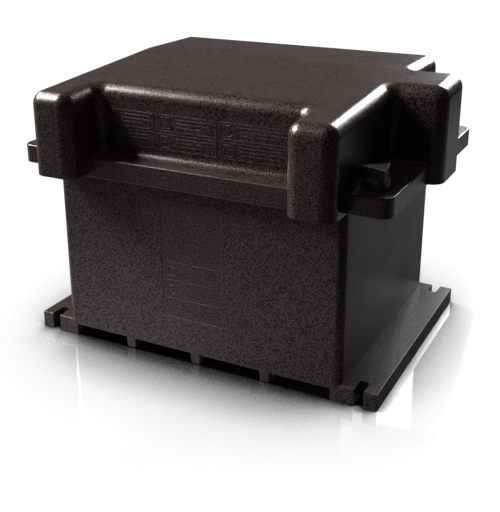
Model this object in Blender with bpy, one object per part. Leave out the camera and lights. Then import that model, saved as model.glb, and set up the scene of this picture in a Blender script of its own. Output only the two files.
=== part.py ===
"""Lidded box for two deep-cycle batteries, with the batteries, their series link and four latches.

Metres, +Z up, +X along the long side and -Y to the front. The origin is on the floor, under the
middle of the tub. The lid lifts straight up, the latch knobs turn about Z and so do the vent caps.
"""

import math

import bmesh
import bpy
from mathutils import Matrix, Vector

# ---- Driving dimensions ----------------------------------------------------------------------

WALL = 0.004                    # moulded wall of the tub and the lid
GAP = 0.0005                    # rest gap between two pieces that touch

TUB_LENGTH = 0.3825             # outside, along X
TUB_DEPTH = 0.321               # outside, along Y
TUB_CORNER = 0.010              # plan radius of the tub's corners
TUB_UNDERSIDE = 0.014           # height of the floor's lower face above the ground
RIM_HEIGHT = 0.2488             # top edge of the tub's walls

RUNNER_SPACING = 0.095
RUNNER_WIDTH = 0.0135
RUNNER_TAPER = 0.001            # how much narrower each side of a runner is at the ground
FLANGE_REACH = 0.236            # from the middle to the outer edge of a hold-down flange
FLANGE_HEIGHT = 0.021
FLANGE_INNER = 0.179            # inner edge of the end foot, under the tub
FLANGE_CORNER = 0.0015
FLANGE_POCKETS = 6              # cored pockets in a row under each flange
SLOT_CENTRE = 0.2138            # bolt slots in the flanges
SLOT_WIDTH = 0.012
SLOT_DEPTH = 0.024

LID_SKIRT_LOW = 0.2323          # lower edge of the lobes, the hood and the end ledges
LID_SKIRT_HIGH = 0.2553         # top of the end ledges
LEDGE_REACH = 0.2415            # from the middle to the outer edge of a ledge
LEDGE_FRONT = -0.1665           # front and back ends of the ledges
LEDGE_BACK = 0.1750
LEDGE_CORNER = 0.014            # plan radius of the ledges' corners
LEDGE_EDGE = 0.002              # radius of the ledges' and the shelf's top edges
SHELF_FRONT = -0.1735           # shelf and skirt between the lobes, under the front panel
SHELF_LOW = 0.2288
SHELF_TOP = 0.2535
BODY_HALF = 0.1935              # from the middle to the lid's end walls
BODY_BACK = 0.1645
PANEL_FRONT = -0.1445           # recessed front panel between the lobes
LOBE_FRONT = -0.2058
LOBE_INNER = 0.1365             # inner side of a front lobe
HOOD_REACH = 0.2567             # cable hood on the right-hand end
HOOD_FRONT = -0.0290
HOOD_BACK = 0.0540
LID_TOP = 0.3505                # level rear part of the lid
LID_TOP_FRONT = 0.3335          # height of the sloping top at the lobes' front
CREASE = 0.041                  # where the slope meets the level part
LID_EDGE = 0.016                # radius of the lid's top edges
LID_CORNER = 0.0165             # radius of the lid's upright edges
LID_HOLLOW_CORNER = 0.010       # radius of the inside corners of the plan

KNOB_X = 0.2155                 # latch axes, mirrored to the four ledge ends
KNOB_Y = 0.134
KNOB_BOSS = 0.0135              # radius of the round foot under the wings
KNOB_CHAMFER = 0.002
KNOB_SEAT = LID_SKIRT_HIGH + GAP
WING_LOW = 0.2660
WING_HIGH = 0.2795
WING_REACH = 0.0205             # from the axis to a wing's point
WING_CORNER = 0.0012
WING_POINT = math.radians(190)  # direction of the right front knob's inner point
SHAFT_RADIUS = 0.005
SHAFT_HOLE = 0.0054
EAR_LOW = 0.2395                # lug on the tub that the latch bar turns under
EAR_THICK = 0.005
EAR_REACH = 0.2325
EAR_HALF = 0.022
RIB_THICK = 0.003               # ribs under the ledges that stand on the ears
RIB_INSET = 0.0025              # from an ear's end to the middle of its rib
BAR_LENGTH = 0.028
BAR_WIDTH = 0.0085
BAR_THICK = 0.004
BAR_LOW = 0.2345
BAR_CLEARANCE = 0.0014          # round the bar, in the ear's slot
SCREW_BORE = 0.0023             # radii of the latch screw and of its bore
SCREW_SHANK = 0.0019
SCREW_HEAD = 0.0042
SCREW_HEAD_THICK = 0.0024
SCREW_GRIP = 0.010              # length of the screw in the shaft

BATTERY_WIDTH = 0.181           # a six-volt golf-cart size battery
BATTERY_DEPTH = 0.260
BATTERY_HEIGHT = 0.276          # to the top of its studs
BATTERY_X = 0.0912
BATTERY_WALL = 0.0035
BATTERY_CORNER = 0.005
BATTERY_FLOOR = TUB_UNDERSIDE + WALL + GAP
CASE_HEIGHT = 0.243
COVER_THICK = 0.012
COVER_EDGE = 0.003
CELLS = 3
CELL_PITCH = 0.0845
PLATES = 11
PLATE_THICK = 0.007
PLATE_CLEARANCE = 0.002         # between the plates and the walls of their cell
SUMP = 0.006                    # room under the plates
ACID_SPACE = 0.030              # from the top of the plates to the cover
STRAP_HALF = 0.012              # half the width of the strap across the plates, and its height
CAP_RADIUS = 0.017
CAP_HOLE = 0.0125
CAP_PLUG = 0.016                # depth of the plug in the cover
CAP_HEAD = 0.005
GRIP_WIDTH = 0.005              # bar across the cap
GRIP_LENGTH = 0.025
GRIP_TOP = 0.010                # its height above the cap's seat
POST_X = 0.045                  # from the battery's middle to its post line
POST_Y = 0.105
POST_RADIUS = 0.009
POST_PROUD = 0.004              # height of the post's shoulder above the cover
STUD_RADIUS = 0.004
STUD_CLEARANCE = 0.0004
NUT_RADIUS = 0.0075             # to the nut's corners
NUT_HEIGHT = 0.0065
LUG_THICK = 0.003
LUG_TONGUE = 0.014              # from the stud to the barrel's middle part
LUG_TONGUE_HALF = 0.006
BARREL_RADIUS = 0.0064
BARREL_LENGTH = 0.014
BARREL_MIDDLE = 0.019           # from the stud, along the cable
BARREL_LIFT = 0.0045            # of the barrel's axis above the eye's middle
LINK_RADIUS = 0.0055            # cable between the two batteries
LINK_RISE = 0.005               # height of its hump
LINK_BOW = 0.003                # its sideways bow

ROUND_SIDES = 24


# ---- Outlines --------------------------------------------------------------------------------

def edge_directions(corners, index):
    """Unit directions of the edges that arrive at and leave one corner of an outline."""
    here = Vector(corners[index][:2])
    previous = Vector(corners[index - 1][:2])
    following = Vector(corners[(index + 1) % len(corners)][:2])
    return (here - previous).normalized(), (following - here).normalized()


def rounded_outline(corners, arc_steps):
    """Points of an anticlockwise outline through (x, y, radius) corners, with an arc at each."""
    points = []
    for index, (x, y, radius) in enumerate(corners):
        arriving, leaving = edge_directions(corners, index)
        turn = math.atan2(arriving.cross(leaving), arriving.dot(leaving))
        tangent = radius * abs(math.tan(turn / 2))
        start = Vector((x, y)) - arriving * tangent
        side = math.copysign(radius, turn)
        centre = start + Vector((-arriving.y, arriving.x)) * side
        for step in range(arc_steps + 1):
            spin = Matrix.Rotation(turn * step / arc_steps, 2)
            points.append(centre + spin @ (start - centre))
    return points


def inset(corners, distance):
    """The same corners moved inwards. Outer radii shrink and inner radii grow."""
    moved = []
    for index, (x, y, radius) in enumerate(corners):
        arriving, leaving = edge_directions(corners, index)
        first = Vector((-arriving.y, arriving.x))
        second = Vector((-leaving.y, leaving.x))
        shift = (first + second) * (distance / (1 + first.dot(second)))
        bend = math.copysign(1, arriving.cross(leaving))
        moved.append((x + shift.x, y + shift.y, max(radius - bend * distance, 0.0002)))
    return moved


def rectangle(low_x, low_y, high_x, high_y, radius):
    """Corners of an upright rectangle, anticlockwise from its lowest corner."""
    places = ((low_x, low_y), (high_x, low_y), (high_x, high_y), (low_x, high_y))
    return [(x, y, radius) for x, y in places]


def domed_levels(corners, bottom, top, edge_radius, edge_steps):
    """Levels of a prism whose top edge is rounded."""
    levels = [(corners, bottom)]
    for step in range(edge_steps + 1):
        angle = math.radians(90) * step / edge_steps
        shrink = edge_radius * (1 - math.cos(angle))
        drop = edge_radius * (1 - math.sin(angle))
        levels.append((inset(corners, shrink), top - drop))
    return levels


# ---- Solids ----------------------------------------------------------------------------------

def make_material(name, colour, roughness, metallic=0.0):
    material = bpy.data.materials.new(name)
    material.use_nodes = True
    shader = material.node_tree.nodes["Principled BSDF"]
    shader.inputs["Base Color"].default_value = (*colour, 1.0)
    shader.inputs["Roughness"].default_value = roughness
    shader.inputs["Metallic"].default_value = metallic
    return material


def make_object(name, bm, material=None, smooth_angle=35):
    """Turn a bmesh into an object, with its faces pointing out."""
    bmesh.ops.recalc_face_normals(bm, faces=bm.faces)
    mesh = bpy.data.meshes.new(name)
    bm.to_mesh(mesh)
    bm.free()
    mesh.shade_smooth()
    mesh.set_sharp_from_angle(angle=math.radians(smooth_angle))
    if material:
        mesh.materials.append(material)
    item = bpy.data.objects.new(name, mesh)
    bpy.context.collection.objects.link(item)
    return item


def lofted(levels, arc_steps):
    """A closed bmesh through (corners, height) levels, from the bottom up."""
    bm = bmesh.new()
    loops = []
    for corners, height in levels:
        points = rounded_outline(corners, arc_steps)
        loops.append([bm.verts.new((point.x, point.y, height)) for point in points])
    for lower, upper in zip(loops, loops[1:]):
        for index in range(len(lower)):
            following = (index + 1) % len(lower)
            bm.faces.new((lower[index], lower[following], upper[following], upper[index]))
    bm.faces.new(list(reversed(loops[0])))
    bm.faces.new(loops[-1])
    return bm


def prism(name, corners, bottom, top, material=None, arc_steps=4):
    return make_object(name, lofted([(corners, bottom), (corners, top)], arc_steps), material)


def block(name, low, high, material=None):
    """A box between two opposite corners."""
    bm = bmesh.new()
    bmesh.ops.create_cube(bm, size=1.0)
    size = Vector(high) - Vector(low)
    middle = (Vector(high) + Vector(low)) / 2
    bmesh.ops.transform(bm, matrix=Matrix.Translation(middle) @ Matrix.Diagonal((*size, 1)), verts=bm.verts)
    return make_object(name, bm, material)


def turned(name, profile, material=None, sides=ROUND_SIDES, about=(0.0, 0.0)):
    """A solid turned about an upright axis from (radius, height) points, both ends on the axis."""
    bm = bmesh.new()
    rings = []
    for radius, height in profile:
        if radius == 0:
            rings.append([bm.verts.new((about[0], about[1], height))])
            continue
        ring = []
        for index in range(sides):
            angle = math.tau * index / sides
            x = about[0] + radius * math.cos(angle)
            y = about[1] + radius * math.sin(angle)
            ring.append(bm.verts.new((x, y, height)))
        rings.append(ring)
    for first, second in zip(rings, rings[1:]):
        for index in range(sides):
            following = (index + 1) % sides
            corners = [first[index % len(first)], first[following % len(first)]]
            corners += [second[following % len(second)], second[index % len(second)]]
            bm.faces.new(list(dict.fromkeys(corners)))
    return make_object(name, bm, material)


def cylinder_profile(radius, low, high):
    return [(0, low), (radius, low), (radius, high), (0, high)]


def combine(target, tool, operation):
    """Cut a tool from a target, or join it on, with a Boolean. The tool stays as a guide."""
    modifier = target.modifiers.new(operation.title() + " " + tool.name, 'BOOLEAN')
    modifier.operation = operation
    modifier.object = tool
    tool.hide_render = True
    tool.display_type = 'WIRE'


def join_all(target, tools):
    for tool in tools:
        combine(target, tool, 'UNION')


def cut_all(target, tools):
    for tool in tools:
        combine(target, tool, 'DIFFERENCE')


def place_on_axis(item, axis_point):
    """Move an object's origin onto its joint axis without moving its shape."""
    item.data.transform(Matrix.Translation(-Vector(axis_point)))
    item.location = axis_point


def knob_places():
    """Name, x and y of each latch axis."""
    for side_name, side in (("left", -1), ("right", 1)):
        for end_name, end in (("front", -1), ("rear", 1)):
            yield f"{end_name}_{side_name}", side * KNOB_X, end * KNOB_Y


# ---- Tub -------------------------------------------------------------------------------------

def tub_flange(side):
    """One hold-down flange: a flat bar with bolt slots at its ends and cored out underneath."""
    half_depth = TUB_DEPTH / 2
    name = "flange_right" if side > 0 else "flange_left"
    inner, outer = sorted((side * FLANGE_INNER, side * FLANGE_REACH))
    outline = rectangle(inner, -half_depth, outer, half_depth, FLANGE_CORNER)
    flange = prism(name, outline, 0, FLANGE_HEIGHT, arc_steps=2)
    for end in (-1, 1):
        near, far = sorted((end * (half_depth - SLOT_DEPTH), end * (half_depth + SLOT_WIDTH)))
        low = side * SLOT_CENTRE - SLOT_WIDTH / 2
        outline = rectangle(low, near, low + SLOT_WIDTH, far, SLOT_WIDTH * 0.49)
        combine(flange, prism(f"{name}_slot_{end}", outline, -WALL, FLANGE_HEIGHT + WALL), 'DIFFERENCE')
    cored_half = half_depth - SLOT_DEPTH - 2 * WALL
    pitch = 2 * cored_half / FLANGE_POCKETS
    for index in range(FLANGE_POCKETS):
        start = -cored_half + index * pitch + WALL / 2
        low = (inner + WALL, start, -WALL)
        high = (outer - WALL, start + pitch - WALL, TUB_UNDERSIDE)
        combine(flange, block(f"{name}_core_{index}", low, high), 'DIFFERENCE')
    return flange


def tub_runner(index):
    """One of the tapered feet that run from front to back under the floor."""
    half_depth = TUB_DEPTH / 2
    middle = index * RUNNER_SPACING
    half_width = RUNNER_WIDTH / 2
    foot = rectangle(middle - half_width, -half_depth, middle + half_width, half_depth, FLANGE_CORNER)
    levels = [(inset(foot, RUNNER_TAPER), 0), (foot, TUB_UNDERSIDE + WALL / 2)]
    return make_object(f"runner_{index + 1}", lofted(levels, 2))


def tub_ear(name, knob_x, knob_y):
    """Lug on the tub's end wall with the slot that a latch bar drops through."""
    side = math.copysign(1, knob_x)
    inner, outer = sorted((side * (TUB_LENGTH / 2 - WALL / 2), side * EAR_REACH))
    outline = rectangle(inner, knob_y - EAR_HALF, outer, knob_y + EAR_HALF, WALL)
    ear = prism(f"ear_{name}", outline, EAR_LOW, EAR_LOW + EAR_THICK, arc_steps=2)
    half_x = BAR_WIDTH / 2 + BAR_CLEARANCE
    half_y = BAR_LENGTH / 2 + BAR_CLEARANCE
    low = (knob_x - half_x, knob_y - half_y, EAR_LOW - WALL)
    high = (knob_x + half_x, knob_y + half_y, EAR_LOW + 2 * EAR_THICK)
    combine(ear, block(f"ear_slot_{name}", low, high), 'DIFFERENCE')
    return ear


def make_tub(material):
    half_length = TUB_LENGTH / 2
    half_depth = TUB_DEPTH / 2
    outside = rectangle(-half_length, -half_depth, half_length, half_depth, TUB_CORNER)
    tub = prism("tub", outside, TUB_UNDERSIDE, RIM_HEIGHT, material)
    join_all(tub, [tub_flange(side) for side in (-1, 1)])
    join_all(tub, [tub_runner(index) for index in (-1, 0, 1)])
    join_all(tub, [tub_ear(*place) for place in knob_places()])
    inside = prism("tub_hollow", inset(outside, WALL), TUB_UNDERSIDE + WALL, RIM_HEIGHT + WALL)
    combine(tub, inside, 'DIFFERENCE')


# ---- Lid -------------------------------------------------------------------------------------

def lid_outline():
    """Plan of the lid above its skirt: two front lobes, the recess between them and the hood."""
    outer = LID_CORNER
    hollow = LID_HOLLOW_CORNER
    return [
        (-BODY_HALF, LOBE_FRONT, outer),
        (-LOBE_INNER, LOBE_FRONT, outer),
        (-LOBE_INNER, PANEL_FRONT, hollow),
        (LOBE_INNER, PANEL_FRONT, hollow),
        (LOBE_INNER, LOBE_FRONT, outer),
        (BODY_HALF, LOBE_FRONT, outer),
        (BODY_HALF, HOOD_FRONT, hollow),
        (HOOD_REACH, HOOD_FRONT, outer),
        (HOOD_REACH, HOOD_BACK, outer),
        (BODY_HALF, HOOD_BACK, hollow),
        (BODY_HALF, BODY_BACK, outer),
        (-BODY_HALF, BODY_BACK, outer),
    ]


def slope_drop(y):
    """How far the sloping top lies below its level rear part."""
    run = (CREASE - y) / (CREASE - LOBE_FRONT)
    return max(run, 0) * (LID_TOP - LID_TOP_FRONT)


def lid_body(name, corners, bottom, top, edge_radius):
    """The lid's main volume, its top edge rounded and its front part sloped."""
    bm = lofted(domed_levels(corners, bottom, top, edge_radius, 4), 4)
    everything = bm.verts[:] + bm.edges[:] + bm.faces[:]
    bmesh.ops.bisect_plane(bm, geom=everything, plane_co=(0, CREASE, 0), plane_no=(0, 1, 0))
    for vert in bm.verts:
        if vert.co.z > LID_SKIRT_HIGH:
            vert.co.z -= slope_drop(vert.co.y)
    return make_object(name, bm)


def lid_ribs(name, knob_x, knob_y):
    """Two ribs under a ledge that stand on the tub's ear."""
    side = math.copysign(1, knob_x)
    inner, outer = sorted((side * BODY_HALF, side * (LEDGE_REACH - WALL / 2)))
    for number, end in enumerate((-1, 1)):
        middle = knob_y + end * (EAR_HALF - RIB_INSET)
        low = (inner, middle - RIB_THICK / 2, EAR_LOW + EAR_THICK + GAP)
        high = (outer, middle + RIB_THICK / 2, LID_SKIRT_HIGH - WALL / 2)
        yield block(f"lid_rib_{name}_{number}", low, high)


def make_lid(material):
    low = LID_SKIRT_LOW
    plan = lid_outline()
    ledges = rectangle(-LEDGE_REACH, LEDGE_FRONT, LEDGE_REACH, LEDGE_BACK, LEDGE_CORNER)
    shelf_half = LOBE_INNER + WALL / 2
    shelf = rectangle(-shelf_half, SHELF_FRONT, shelf_half, 0, GAP)
    ledge_levels = domed_levels(ledges, low, LID_SKIRT_HIGH, LEDGE_EDGE, 2)
    lid = make_object("lid", lofted(ledge_levels, 4), material)
    shelf_levels = domed_levels(shelf, SHELF_LOW, SHELF_TOP, LEDGE_EDGE, 2)
    join_all(lid, [
        lid_body("lid_body", plan, low, LID_TOP, LID_EDGE),
        make_object("lid_shelf", lofted(shelf_levels, 1)),
    ])
    deep = SHELF_LOW - WALL
    shelf_hollow_low = (-LOBE_INNER, SHELF_FRONT + WALL, deep - 2 * WALL)
    cut_all(lid, [
        lid_body("lid_body_hollow", inset(plan, WALL), deep, LID_TOP - WALL, LID_EDGE - WALL),
        prism("lid_ledge_hollow", inset(ledges, WALL), deep - WALL, LID_SKIRT_HIGH - WALL),
        block("lid_shelf_hollow", shelf_hollow_low, (LOBE_INNER, 0, SHELF_TOP - WALL)),
    ])
    for name, knob_x, knob_y in knob_places():
        join_all(lid, lid_ribs(name, knob_x, knob_y))
        profile = cylinder_profile(SHAFT_HOLE, LID_SKIRT_HIGH - 2 * WALL, LID_SKIRT_HIGH + WALL)
        combine(lid, turned(f"lid_hole_{name}", profile, about=(knob_x, knob_y)), 'DIFFERENCE')


# ---- Latches ---------------------------------------------------------------------------------

def wing_outline(knob_x, knob_y):
    """Three-pointed grip, turned so that the knobs mirror each other across the box."""
    towards_wall = WING_POINT if knob_x > 0 else math.pi - WING_POINT
    corners = []
    for index in range(3):
        angle = towards_wall + math.tau * index / 3
        x = knob_x + WING_REACH * math.cos(angle)
        y = knob_y + WING_REACH * math.sin(angle)
        corners.append((x, y, WING_CORNER))
    return corners


def make_knob(name, knob_x, knob_y, shaft_low, plastic):
    """Shaft, round foot and three-pointed grip, with a blind bore for the latch screw."""
    about = (knob_x, knob_y)
    boss_top = WING_LOW + KNOB_CHAMFER
    profile = [(0, shaft_low), (SHAFT_RADIUS, shaft_low), (SHAFT_RADIUS, KNOB_SEAT), (KNOB_BOSS, KNOB_SEAT)]
    profile += [(KNOB_BOSS, WING_LOW - GAP), (KNOB_BOSS - KNOB_CHAMFER, boss_top), (0, boss_top)]
    knob = turned(f"knob_{name}", profile, plastic, about=about)
    wings = prism(f"wings_{name}", wing_outline(knob_x, knob_y), WING_LOW, WING_HIGH, arc_steps=2)
    combine(knob, wings, 'UNION')
    profile = cylinder_profile(SCREW_BORE, shaft_low - WALL, shaft_low + SCREW_GRIP + KNOB_CHAMFER)
    combine(knob, turned(f"knob_bore_{name}", profile, sides=16, about=about), 'DIFFERENCE')
    return knob


def make_bar(name, knob_x, knob_y, plastic):
    """Bar that turns under the tub's ear."""
    half_x = BAR_WIDTH / 2
    half_y = BAR_LENGTH / 2
    outline = rectangle(knob_x - half_x, knob_y - half_y, knob_x + half_x, knob_y + half_y, half_x * 0.9)
    bar = prism(f"latch_bar_{name}", outline, BAR_LOW, BAR_LOW + BAR_THICK, plastic, arc_steps=3)
    profile = cylinder_profile(SCREW_BORE, BAR_LOW - WALL, BAR_LOW + 2 * WALL)
    combine(bar, turned(f"bar_hole_{name}", profile, sides=16, about=(knob_x, knob_y)), 'DIFFERENCE')
    return bar


def make_screw(name, knob_x, knob_y, shaft_low, zinc):
    """Screw that holds the bar on the knob's shaft."""
    head_top = BAR_LOW - GAP
    head_low = head_top - SCREW_HEAD_THICK
    head_middle = head_top - SCREW_HEAD_THICK / 2
    tip = shaft_low + SCREW_GRIP
    profile = [(0, head_low), (SCREW_SHANK, head_low), (SCREW_HEAD, head_middle), (SCREW_HEAD, head_top)]
    profile += [(SCREW_SHANK, head_top), (SCREW_SHANK, tip), (0, tip + SCREW_SHANK / 2)]
    return turned(f"latch_screw_{name}", profile, zinc, sides=16, about=(knob_x, knob_y))


def make_latch(name, knob_x, knob_y, plastic, zinc):
    """Knob, bar and screw that turn together about one upright axis."""
    shaft_low = BAR_LOW + BAR_THICK + GAP
    pieces = [
        make_knob(name, knob_x, knob_y, shaft_low, plastic),
        make_bar(name, knob_x, knob_y, plastic),
        make_screw(name, knob_x, knob_y, shaft_low, zinc),
    ]
    for item in pieces:
        place_on_axis(item, (knob_x, knob_y, KNOB_SEAT))


# ---- Batteries -------------------------------------------------------------------------------

def battery_places():
    """Name, centre x and the side on which the posts stand, so that both rows face the middle."""
    yield "left", -BATTERY_X, 1
    yield "right", BATTERY_X, -1


def cell_centres():
    return [(index - (CELLS - 1) / 2) * CELL_PITCH for index in range(CELLS)]


def make_case(name, centre_x, material):
    half_x = BATTERY_WIDTH / 2
    half_y = BATTERY_DEPTH / 2
    top = BATTERY_FLOOR + CASE_HEIGHT
    outside = rectangle(centre_x - half_x, -half_y, centre_x + half_x, half_y, BATTERY_CORNER)
    case = prism(f"battery_case_{name}", outside, BATTERY_FLOOR, top, material, arc_steps=3)
    cell_half = CELL_PITCH / 2 - BATTERY_WALL / 2
    for index, y in enumerate(cell_centres()):
        low = (centre_x - half_x + BATTERY_WALL, y - cell_half, BATTERY_FLOOR + WALL)
        high = (centre_x + half_x - BATTERY_WALL, y + cell_half, top + WALL)
        combine(case, block(f"cell_hollow_{name}_{index}", low, high), 'DIFFERENCE')


def make_plate_pack(name, number, centre_x, y, material):
    """Plates of one cell side by side, joined along their tops by a cast strap."""
    half_x = BATTERY_WIDTH / 2 - BATTERY_WALL - PLATE_CLEARANCE
    low_z = BATTERY_FLOOR + WALL + SUMP
    high_z = BATTERY_FLOOR + CASE_HEIGHT - ACID_SPACE
    pitch = 2 * half_x / PLATES
    strap_low = (centre_x - half_x, y - STRAP_HALF, high_z - GAP)
    strap_high = (centre_x + half_x, y + STRAP_HALF, high_z + STRAP_HALF)
    pack = block(f"plate_pack_{name}_{number}", strap_low, strap_high, material)
    plate_half = CELL_PITCH / 2 - BATTERY_WALL / 2 - PLATE_CLEARANCE
    for index in range(PLATES):
        x = centre_x - half_x + (index + 0.5) * pitch
        low = (x - PLATE_THICK / 2, y - plate_half, low_z)
        high = (x + PLATE_THICK / 2, y + plate_half, high_z)
        combine(pack, block(f"plate_{name}_{number}_{index}", low, high), 'UNION')


def make_cover(name, centre_x, post_side, material):
    half_x = BATTERY_WIDTH / 2
    half_y = BATTERY_DEPTH / 2
    low = BATTERY_FLOOR + CASE_HEIGHT + GAP
    outline = rectangle(centre_x - half_x, -half_y, centre_x + half_x, half_y, BATTERY_CORNER)
    levels = domed_levels(outline, low, low + COVER_THICK, COVER_EDGE, 2)
    cover = make_object(f"battery_cover_{name}", lofted(levels, 3), material)
    for index, y in enumerate(cell_centres()):
        profile = cylinder_profile(CAP_HOLE, low - WALL, low + 2 * COVER_THICK)
        hole = turned(f"vent_hole_{name}_{index}", profile, about=(centre_x, y))
        combine(cover, hole, 'DIFFERENCE')
    for end in (-1, 1):
        profile = cylinder_profile(POST_RADIUS + GAP, low - WALL, low + 2 * COVER_THICK)
        place = (centre_x + post_side * POST_X, end * POST_Y)
        combine(cover, turned(f"post_hole_{name}_{end}", profile, about=place), 'DIFFERENCE')


def make_vent_cap(name, number, centre_x, y, material):
    """Quarter-turn cap: a plug in the cover's hole, a flat head and a grip bar across it."""
    seat = BATTERY_FLOOR + CASE_HEIGHT + COVER_THICK + 2 * GAP
    plug = CAP_HOLE - GAP
    foot = seat - CAP_PLUG
    top = seat + CAP_HEAD
    profile = [(0, foot), (plug, foot), (plug, seat), (CAP_RADIUS, seat)]
    profile += [(CAP_RADIUS, top - 2 * GAP), (CAP_RADIUS - 2 * GAP, top), (0, top)]
    cap = turned(f"vent_cap_{name}_{number}", profile, material, about=(centre_x, y))
    low = (centre_x - GRIP_WIDTH / 2, y - GRIP_LENGTH / 2, top - 4 * GAP)
    high = (centre_x + GRIP_WIDTH / 2, y + GRIP_LENGTH / 2, seat + GRIP_TOP)
    combine(cap, block(f"cap_grip_{name}_{number}", low, high), 'UNION')
    place_on_axis(cap, (centre_x, y, seat))


def post_heights():
    """Underside, shoulder and top of a terminal post, and the top of its stud."""
    low = BATTERY_FLOOR + CASE_HEIGHT - POST_PROUD
    shoulder = BATTERY_FLOOR + CASE_HEIGHT + COVER_THICK + POST_PROUD
    return low, shoulder, BATTERY_FLOOR + BATTERY_HEIGHT


def make_post(label, x, y, material):
    """Lead post through the cover with a threaded stud on top."""
    low, shoulder, top = post_heights()
    profile = [(0, low), (POST_RADIUS, low), (POST_RADIUS, shoulder), (STUD_RADIUS, shoulder)]
    profile += [(STUD_RADIUS, top - 2 * GAP), (STUD_RADIUS - 2 * GAP, top), (0, top)]
    turned(f"terminal_post_{label}", profile, material, about=(x, y))


def make_nut(label, x, y, seat, material):
    """Hexagon nut with a clear hole over the stud."""
    corners = []
    for index in range(6):
        angle = math.tau * index / 6
        corners.append((x + NUT_RADIUS * math.cos(angle), y + NUT_RADIUS * math.sin(angle), GAP))
    nut = prism(f"terminal_nut_{label}", corners, seat, seat + NUT_HEIGHT, material, arc_steps=1)
    profile = cylinder_profile(STUD_RADIUS + STUD_CLEARANCE, seat - WALL, seat + 2 * WALL)
    combine(nut, turned(f"nut_hole_{label}", profile, about=(x, y)), 'DIFFERENCE')


def make_lug(label, x, y, cable_side, material):
    """Ring lug of the series link: a flat eye round the stud and a crimped barrel."""
    low = post_heights()[1] + GAP
    high = low + LUG_THICK
    eye = turned(f"link_lug_{label}", cylinder_profile(POST_RADIUS, low, high), material, about=(x, y))
    inner, outer = sorted((x, x + cable_side * LUG_TONGUE))
    tongue_low = (inner, y - LUG_TONGUE_HALF, low)
    tongue = block(f"lug_tongue_{label}", tongue_low, (outer, y + LUG_TONGUE_HALF, high))
    bm = bmesh.new()
    bmesh.ops.create_cone(bm, cap_ends=True, segments=16, radius1=BARREL_RADIUS, radius2=BARREL_RADIUS,
                          depth=BARREL_LENGTH)
    turn = Matrix.Rotation(math.radians(90), 4, 'Y')
    move = Matrix.Translation((x + cable_side * BARREL_MIDDLE, y, (low + high) / 2 + BARREL_LIFT))
    bmesh.ops.transform(bm, matrix=move @ turn, verts=bm.verts)
    join_all(eye, [tongue, make_object(f"lug_barrel_{label}", bm)])
    profile = cylinder_profile(STUD_RADIUS + STUD_CLEARANCE, low - WALL, low + 2 * WALL)
    combine(eye, turned(f"lug_hole_{label}", profile, about=(x, y)), 'DIFFERENCE')


def link_route(start_x, end_x, y, height):
    """Smooth hump of the series link between its two lug barrels."""
    steps = 14
    points = []
    for index in range(steps + 1):
        t = index / steps
        rise = math.sin(math.pi * t) ** 4
        points.append((start_x + (end_x - start_x) * t, y + LINK_BOW * rise, height + LINK_RISE * rise))
    return points


def make_link(start_x, end_x, y, height, material):
    curve = bpy.data.curves.new("series_link", 'CURVE')
    curve.dimensions = '3D'
    curve.bevel_depth = LINK_RADIUS
    curve.bevel_resolution = 3
    curve.use_fill_caps = True
    points = link_route(start_x, end_x, y, height)
    spline = curve.splines.new('POLY')
    spline.points.add(len(points) - 1)
    for point, place in zip(spline.points, points):
        point.co = (*place, 1)
    curve.materials.append(material)
    link = bpy.data.objects.new("series_link", curve)
    bpy.context.collection.objects.link(link)


def make_batteries(materials):
    for name, centre_x, post_side in battery_places():
        make_case(name, centre_x, materials["battery_case"])
        make_cover(name, centre_x, post_side, materials["battery_cover"])
        for number, y in enumerate(cell_centres(), 1):
            make_plate_pack(name, number, centre_x, y, materials["lead"])
            make_vent_cap(name, number, centre_x, y, materials["vent_cap"])
        post_x = centre_x + post_side * POST_X
        for end_name, end in (("front", -1), ("rear", 1)):
            label = f"{end_name}_{name}"
            make_post(label, post_x, end * POST_Y, materials["lead"])
            seat = post_heights()[1] + GAP
            if end > 0:
                seat += LUG_THICK + GAP
            make_nut(label, post_x, end * POST_Y, seat, materials["steel"])


def make_series_link(materials):
    """The short cable that joins the two rear posts across the middle."""
    post_x = BATTERY_X - POST_X
    make_lug("left", -post_x, POST_Y, 1, materials["lug"])
    make_lug("right", post_x, POST_Y, -1, materials["lug"])
    barrel_end = post_x - BARREL_MIDDLE - BARREL_LENGTH / 2
    height = post_heights()[1] + GAP + LUG_THICK / 2 + BARREL_LIFT
    make_link(-barrel_end + GAP, barrel_end - GAP, POST_Y, height, materials["cable"])


# ---- Assembly --------------------------------------------------------------------------------

def clear_scene():
    for item in list(bpy.data.objects):
        bpy.data.objects.remove(item, do_unlink=True)


def main():
    clear_scene()
    materials = {
        "box": make_material("box_plastic", (0.030, 0.027, 0.026), 0.45),
        "knob": make_material("knob_plastic", (0.018, 0.016, 0.016), 0.40),
        "steel": make_material("zinc_steel", (0.60, 0.60, 0.58), 0.35, 1.0),
        "battery_case": make_material("battery_case_plastic", (0.10, 0.02, 0.015), 0.40),
        "battery_cover": make_material("battery_cover_plastic", (0.03, 0.03, 0.03), 0.45),
        "vent_cap": make_material("vent_cap_plastic", (0.55, 0.40, 0.03), 0.45),
        "lead": make_material("lead", (0.32, 0.33, 0.35), 0.55, 1.0),
        "lug": make_material("tinned_copper", (0.70, 0.66, 0.62), 0.30, 1.0),
        "cable": make_material("cable_jacket", (0.02, 0.02, 0.02), 0.55),
    }
    make_tub(materials["box"])
    make_lid(materials["box"])
    for place in knob_places():
        make_latch(*place, materials["knob"], materials["steel"])
    make_batteries(materials)
    make_series_link(materials)


main()
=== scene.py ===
"""Looks of the lidded two-battery box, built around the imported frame.

Metres, +Z up, -Y to the front. The lid, the tub, the knobs and the battery parts get fine meshes
in the places that the frame gives, and every surface gets a procedural material.
"""

import math

import bmesh
import bpy
from mathutils import Matrix, Vector


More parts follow.
